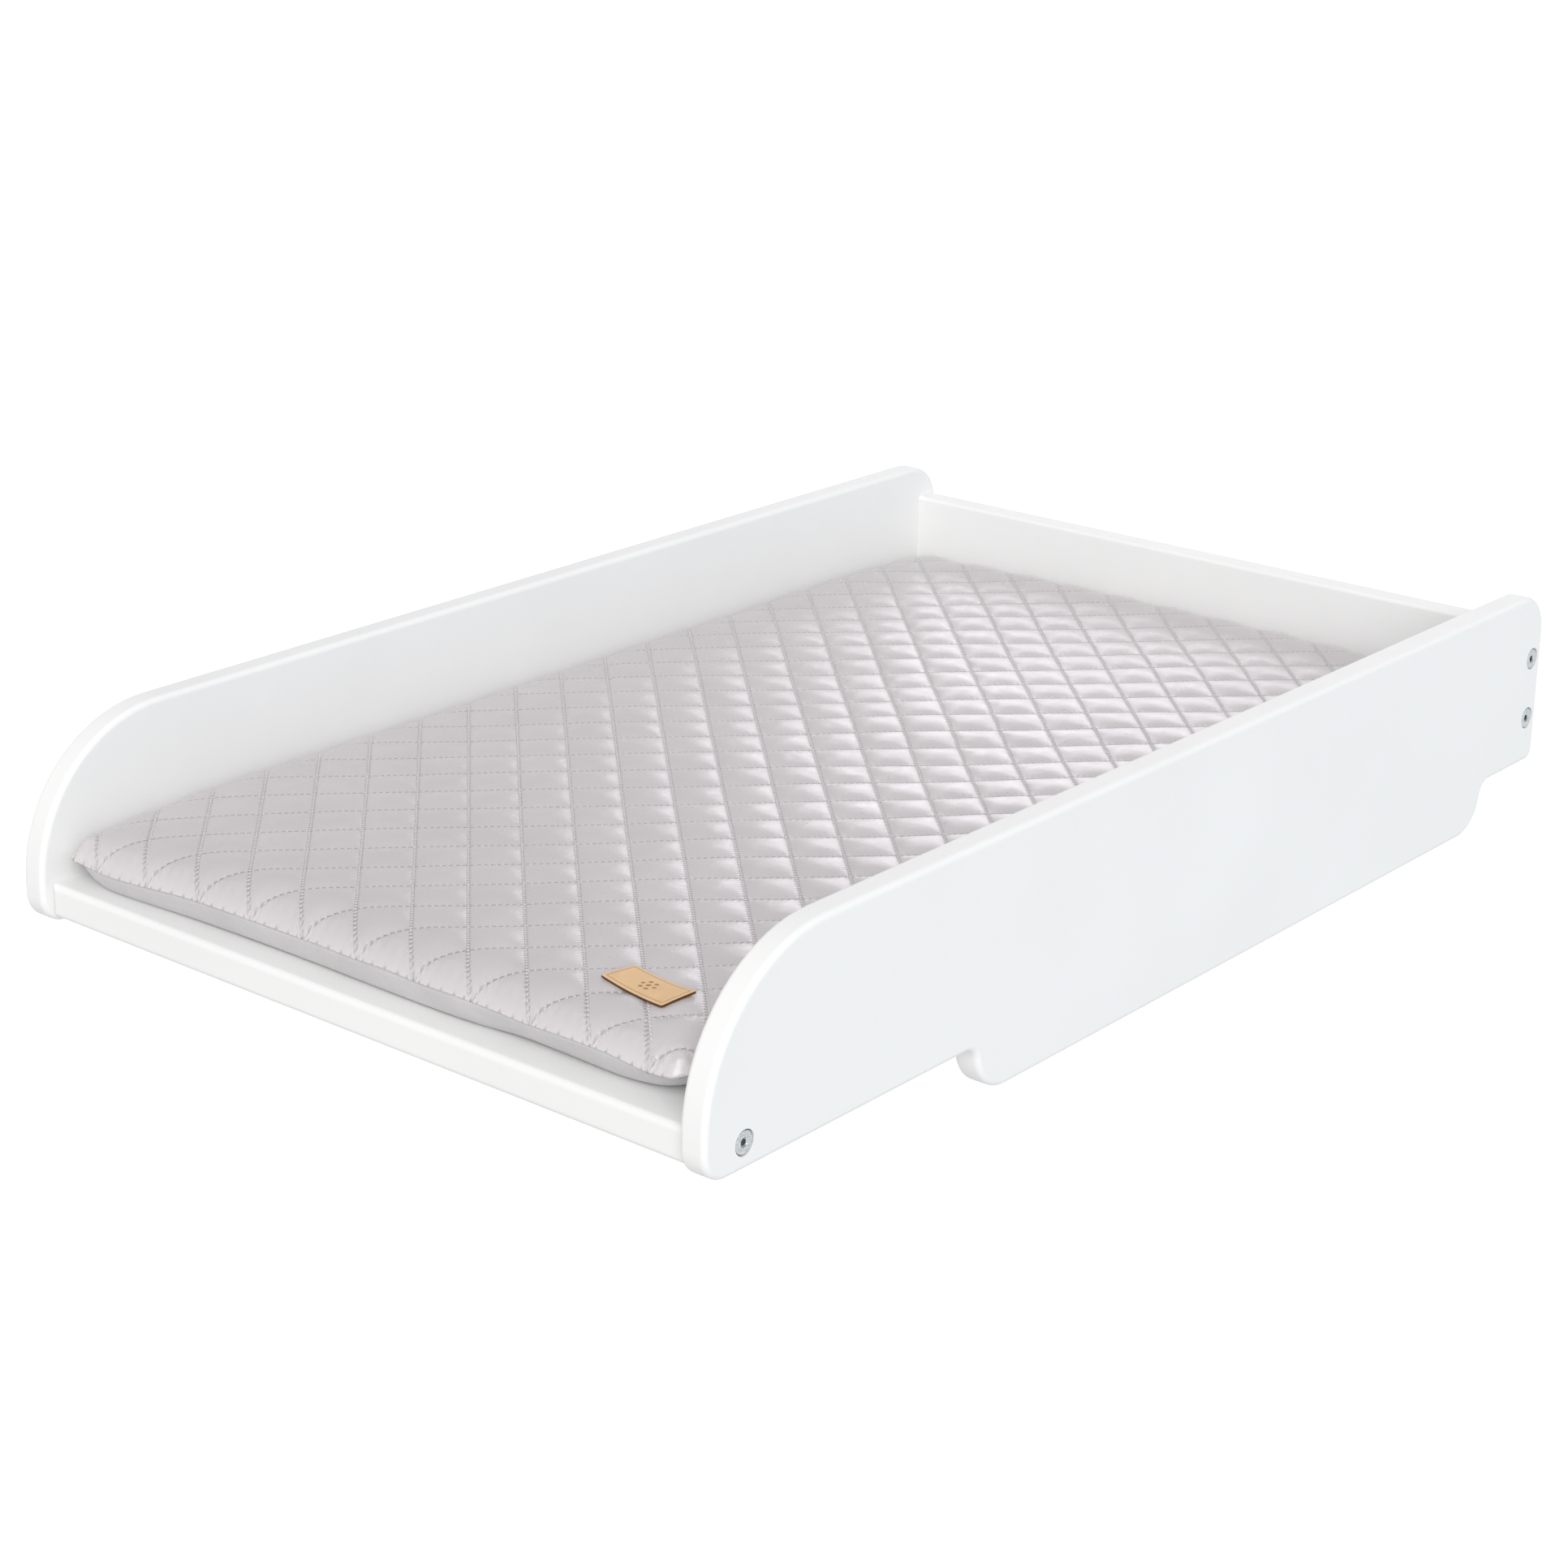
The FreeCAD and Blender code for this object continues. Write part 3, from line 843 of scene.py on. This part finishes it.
def stitch_plan():
    """Start and end of every stitch on the plan, line by line."""
    low, high = lattice_range()
    shares = ((0.2, 0.8), (0.3, 0.7))
    found = []
    for family in (0, 1):
        other = 1 - family
        per_unit = CELL / STITCH[family]
        for line in np.arange(low[family], high[family] + 1):
            first, last = int(low[other] * per_unit), int(high[other] * per_unit)
            for k in range(first, last):
                pair = []
                for share in shares[family]:
                    along = (k + share) / per_unit
                    u, v = (line, along) if family == 0 else (along, line)
                    pair.append(from_lattice(u, v))
                if min(inset(x, y) for x, y in pair) > 0.8 * MM:
                    found.append((*pair, family))
    return found


def stitch_points(start, end, along, normal, size):
    """The points of one stitch: its two ends under the cloth and two rings above it."""
    wide, high = size
    side = along.cross(normal)
    length = (end - start).length
    sunk, raised = normal * 0.25 * MM, normal * 0.15 * MM
    points = [start - sunk]
    for share in (0.22, 0.78):
        middle = start + along * length * share + raised
        for k in range(STITCH_SIDES):
            angle = 2 * math.pi * (k + 0.5) / STITCH_SIDES
            points.append(middle + side * math.cos(angle) * wide + normal * math.sin(angle) * high)
    points.append(end - sunk)
    return points


def stitch_faces(first):
    """The faces of one stitch, whose points are numbered from first."""
    low, high = first + 1, first + 1 + STITCH_SIDES
    last = high + STITCH_SIDES
    faces = []
    for k in range(STITCH_SIDES):
        n = (k + 1) % STITCH_SIDES
        faces.append((first, low + n, low + k))
        faces.append((low + k, low + n, high + n, high + k))
        faces.append((last, high + k, high + n))
    return faces


def stitches(tree):
    """Every stitch of the quilting as a short raised thread."""
    draw = np.random.default_rng(8)
    wander = 0.08 * MM
    sizes = ((0.85 * MM, 0.32 * MM), (0.45 * MM, 0.35 * MM))
    verts, faces = [], []
    for (ax, ay), (bx, by), family in stitch_plan():
        a, b = drop_to(tree, ax, ay), drop_to(tree, bx, by)
        if not a or not b:
            continue
        start, end = a[0], b[0]
        along = (end - start).normalized()
        side = along.cross((a[1] + b[1]).normalized()).normalized()
        normal = side.cross(along).normalized()
        start = start + side * draw.normal(0, wander)
        end = end + side * draw.normal(0, wander)
        faces += stitch_faces(len(verts))
        verts += stitch_points(start, end, along, normal, sizes[family])
    mesh = bpy.data.meshes.new("quilting_thread")
    mesh.from_pydata([tuple(v) for v in verts], [], faces)
    smooth(mesh)
    finish_piece(place("quilting_thread", mesh), "pad", thread())


def label_pressed(x, y):
    """Whether the label is pressed in at a point: a thin frame and a flower of dots."""
    edge = min(LABEL_HALF[0] - abs(x), LABEL_HALF[1] - abs(y))
    angles = [k * math.pi / 3 for k in range(6)]
    dots = [(0, 0, 1.5)] + [(4.6 * math.cos(a), 4.6 * math.sin(a), 1.25) for a in angles]
    in_dot = any(math.hypot(x - dx * MM, y - dy * MM) < r * MM for dx, dy, r in dots)
    return in_dot or abs(edge - 2.6 * MM) < 0.35 * MM


def label_place(middle, x, y):
    """The plan point of a point on the label."""
    c, s = math.cos(LABEL_TURN), math.sin(LABEL_TURN)
    return middle[0] + x * c - y * s, middle[1] + x * s + y * c


def label_bed(tree, middle, xs, ys):
    """The heights at which the leather lies: a smooth fit that rests on the quilting."""
    sunk = 0.9 * MM
    heights = np.zeros((len(xs), len(ys)))
    for i, x in enumerate(xs):
        for j, y in enumerate(ys):
            heights[i, j] = drop_to(tree, *label_place(middle, x, y))[0].z
    gx, gy = np.meshgrid(xs / LABEL_HALF[0], ys / LABEL_HALF[1], indexing="ij")
    basis = np.stack([np.ones_like(gx), gx, gy, gx**2, gy**2, gx * gy], -1).reshape(-1, 6)
    fit = np.linalg.lstsq(basis, heights.ravel(), rcond=None)[0]
    lying = (basis @ fit).reshape(heights.shape)
    return lying + max(0.0, float((heights - lying).max()) - sunk)


def round_corner(x, y):
    """Pulls a point of the label's rectangle in so that its corners are round."""
    radius = 1.6 * MM
    straight_x, straight_y = LABEL_HALF[0] - radius, LABEL_HALF[1] - radius
    cx, cy = abs(x) - straight_x, abs(y) - straight_y
    if cx <= 0 or cy <= 0:
        return x, y
    shrink = max(cx, cy) / math.hypot(cx, cy)
    return math.copysign(straight_x + cx * shrink, x), math.copysign(straight_y + cy * shrink, y)


def label_points(tree, middle):
    """The label's points, those of its top first, and a 1 for each that is pressed in."""
    half_x, half_y = LABEL_HALF
    xs = np.linspace(-half_x, half_x, LABEL_CELLS[0] + 1)
    ys = np.linspace(-half_y, half_y, LABEL_CELLS[1] + 1)
    bed = label_bed(tree, middle, xs, ys)
    bevel, worn = 0.6 * MM, 0.22 * MM
    points, pressed = [], []
    for level in (1, 0):
        for i, x in enumerate(xs):
            for j, y in enumerate(ys):
                press = level * label_pressed(x, y)
                edge = min(half_x - abs(x), half_y - abs(y))
                z = bed[i, j] + level * LABEL_THICK - press * LABEL_PRESS
                z -= level * worn * max(0, 1 - edge / bevel)
                points.append((*label_place(middle, *round_corner(x, y)), z))
                pressed.append(press)
    return points, pressed


def label_faces():
    """The label's faces: (those of its top and underside, those of its cut edge)."""
    across, deep = LABEL_CELLS
    count = (across + 1) * (deep + 1)

    def number(at, level):
        return at[0] * (deep + 1) + at[1] + (0 if level else count)

    flat, edge = [], []
    for i in range(across):
        for j in range(deep):
            square = ((i, j), (i + 1, j), (i + 1, j + 1), (i, j + 1))
            flat.append([number(square[k], 1) for k in (0, 1, 2, 3)])
            flat.append([number(square[k], 0) for k in (0, 3, 2, 1)])
    border = [(i, 0) for i in range(across)] + [(across, j) for j in range(deep)]
    border += [(i, deep) for i in range(across, 0, -1)] + [(0, j) for j in range(deep, 0, -1)]
    for a, b in zip(border, border[1:] + border[:1]):
        edge.append([number(a, 1), number(a, 0), number(b, 0), number(b, 1)])
    return flat, edge


def label(tree):
    """The leather patch, lying on the quilting by the front right corner."""
    low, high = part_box("leather_label")
    points, pressed = label_points(tree, ((low.x + high.x) / 2, (low.y + high.y) / 2))
    flat, edge = label_faces()
    mesh = bpy.data.meshes.new("leather_patch")
    mesh.from_pydata(points, [], flat + edge)
    smooth(mesh)
    marks = mesh.attributes.new("pressed", "FLOAT", "POINT")
    marks.data.foreach_set("value", np.array(pressed, np.float32))
    tan = leather("label_leather", rgb(0.82, 0.56, 0.305), rgb(0.68, 0.43, 0.215))
    cut = leather("label_cut_edge", rgb(0.10, 0.055, 0.035), rgb(0.05, 0.03, 0.02))
    finish_piece(place("leather_patch", mesh), "pad", tan, "leather_label")
    mesh.materials.append(cut)
    for face in list(mesh.polygons)[len(flat):]:
        face.material_index = 1
        face.use_smooth = False


def camera():
    """The camera, at the object's front right and above it."""
    data = bpy.data.cameras.new("camera")
    data.sensor_width = 36.0
    data.lens = LENS
    data.clip_end = 200
    view = place("camera", data)
    view.location = EYE
    view.rotation_mode = "QUATERNION"
    level = (AIM - EYE).to_track_quat("-Z", "Y")
    view.rotation_quaternion = level @ Quaternion((0, 0, 1), ROLL)
    bpy.context.scene.camera = view


def floor():
    """A wide white floor, with a slight glow that keeps it pale."""
    bm = bmesh.new()
    bmesh.ops.create_grid(bm, x_segments=8, y_segments=8, size=FLOOR_SIZE / 2)
    mesh = mesh_of("floor", bm)
    ground = place("floor", mesh)
    glow = {"Emission_Color": rgb(1, 1, 1), "Emission_Strength": 0.55}
    g = Graph("floor_white", Roughness=0.9, Specular_IOR_Level=0.2, **glow)
    tone = g.spread(g.noise(g.place(), 2.0, 2))
    colour = g.mix(tone, rgb(0.78, 0.78, 0.78), rgb(0.82, 0.82, 0.82))
    mesh.materials.append(g.surface(Base_Color=colour))
    ground.visible_diffuse = False


def softbox(name, at, towards, size, power, colour=(1, 1, 1)):
    """A rectangular lamp of that size and wattage."""
    data = bpy.data.lights.new(name, "AREA")
    data.shape = "RECTANGLE"
    data.size, data.size_y = size
    data.energy = power
    data.color = colour
    box = place(name, data)
    box.location = at
    aim = Vector(towards) - Vector(at)
    box.rotation_mode = "QUATERNION"
    box.rotation_quaternion = aim.to_track_quat("-Z", "Y")
    box.visible_camera = False


def studio():
    """An even white surround, a distant key light and two smaller lamps."""
    world = bpy.data.worlds.new("studio")
    world.use_nodes = True
    background = world.node_tree.nodes["Background"]
    background.inputs["Color"].default_value = (1, 1, 1, 1)
    background.inputs["Strength"].default_value = 0.63
    bpy.context.scene.world = world
    softbox("key", (8.1, -9.8, 7.4), (0, 0, 0.1), (10.5, 10.5), 1400)
    softbox("fill", (6.5, 0.5, 0.6), (0, 0, 0.1), (3.0, 1.0), 26, (0.3, 0.65, 1.0))
    softbox("behind", (-1.1, 2.4, 0.8), (0.1, 0.1, 0.1), (1.45, 1.15), 12.5, (0.96, 0.93, 1.0))
    bpy.context.scene.view_settings.view_transform = "Standard"


camera()
floor()
studio()
dress_boards()
cover = top_cover()
lining()
filling()
top_tree = surface_tree(cover)
stitches(top_tree)
label(top_tree)
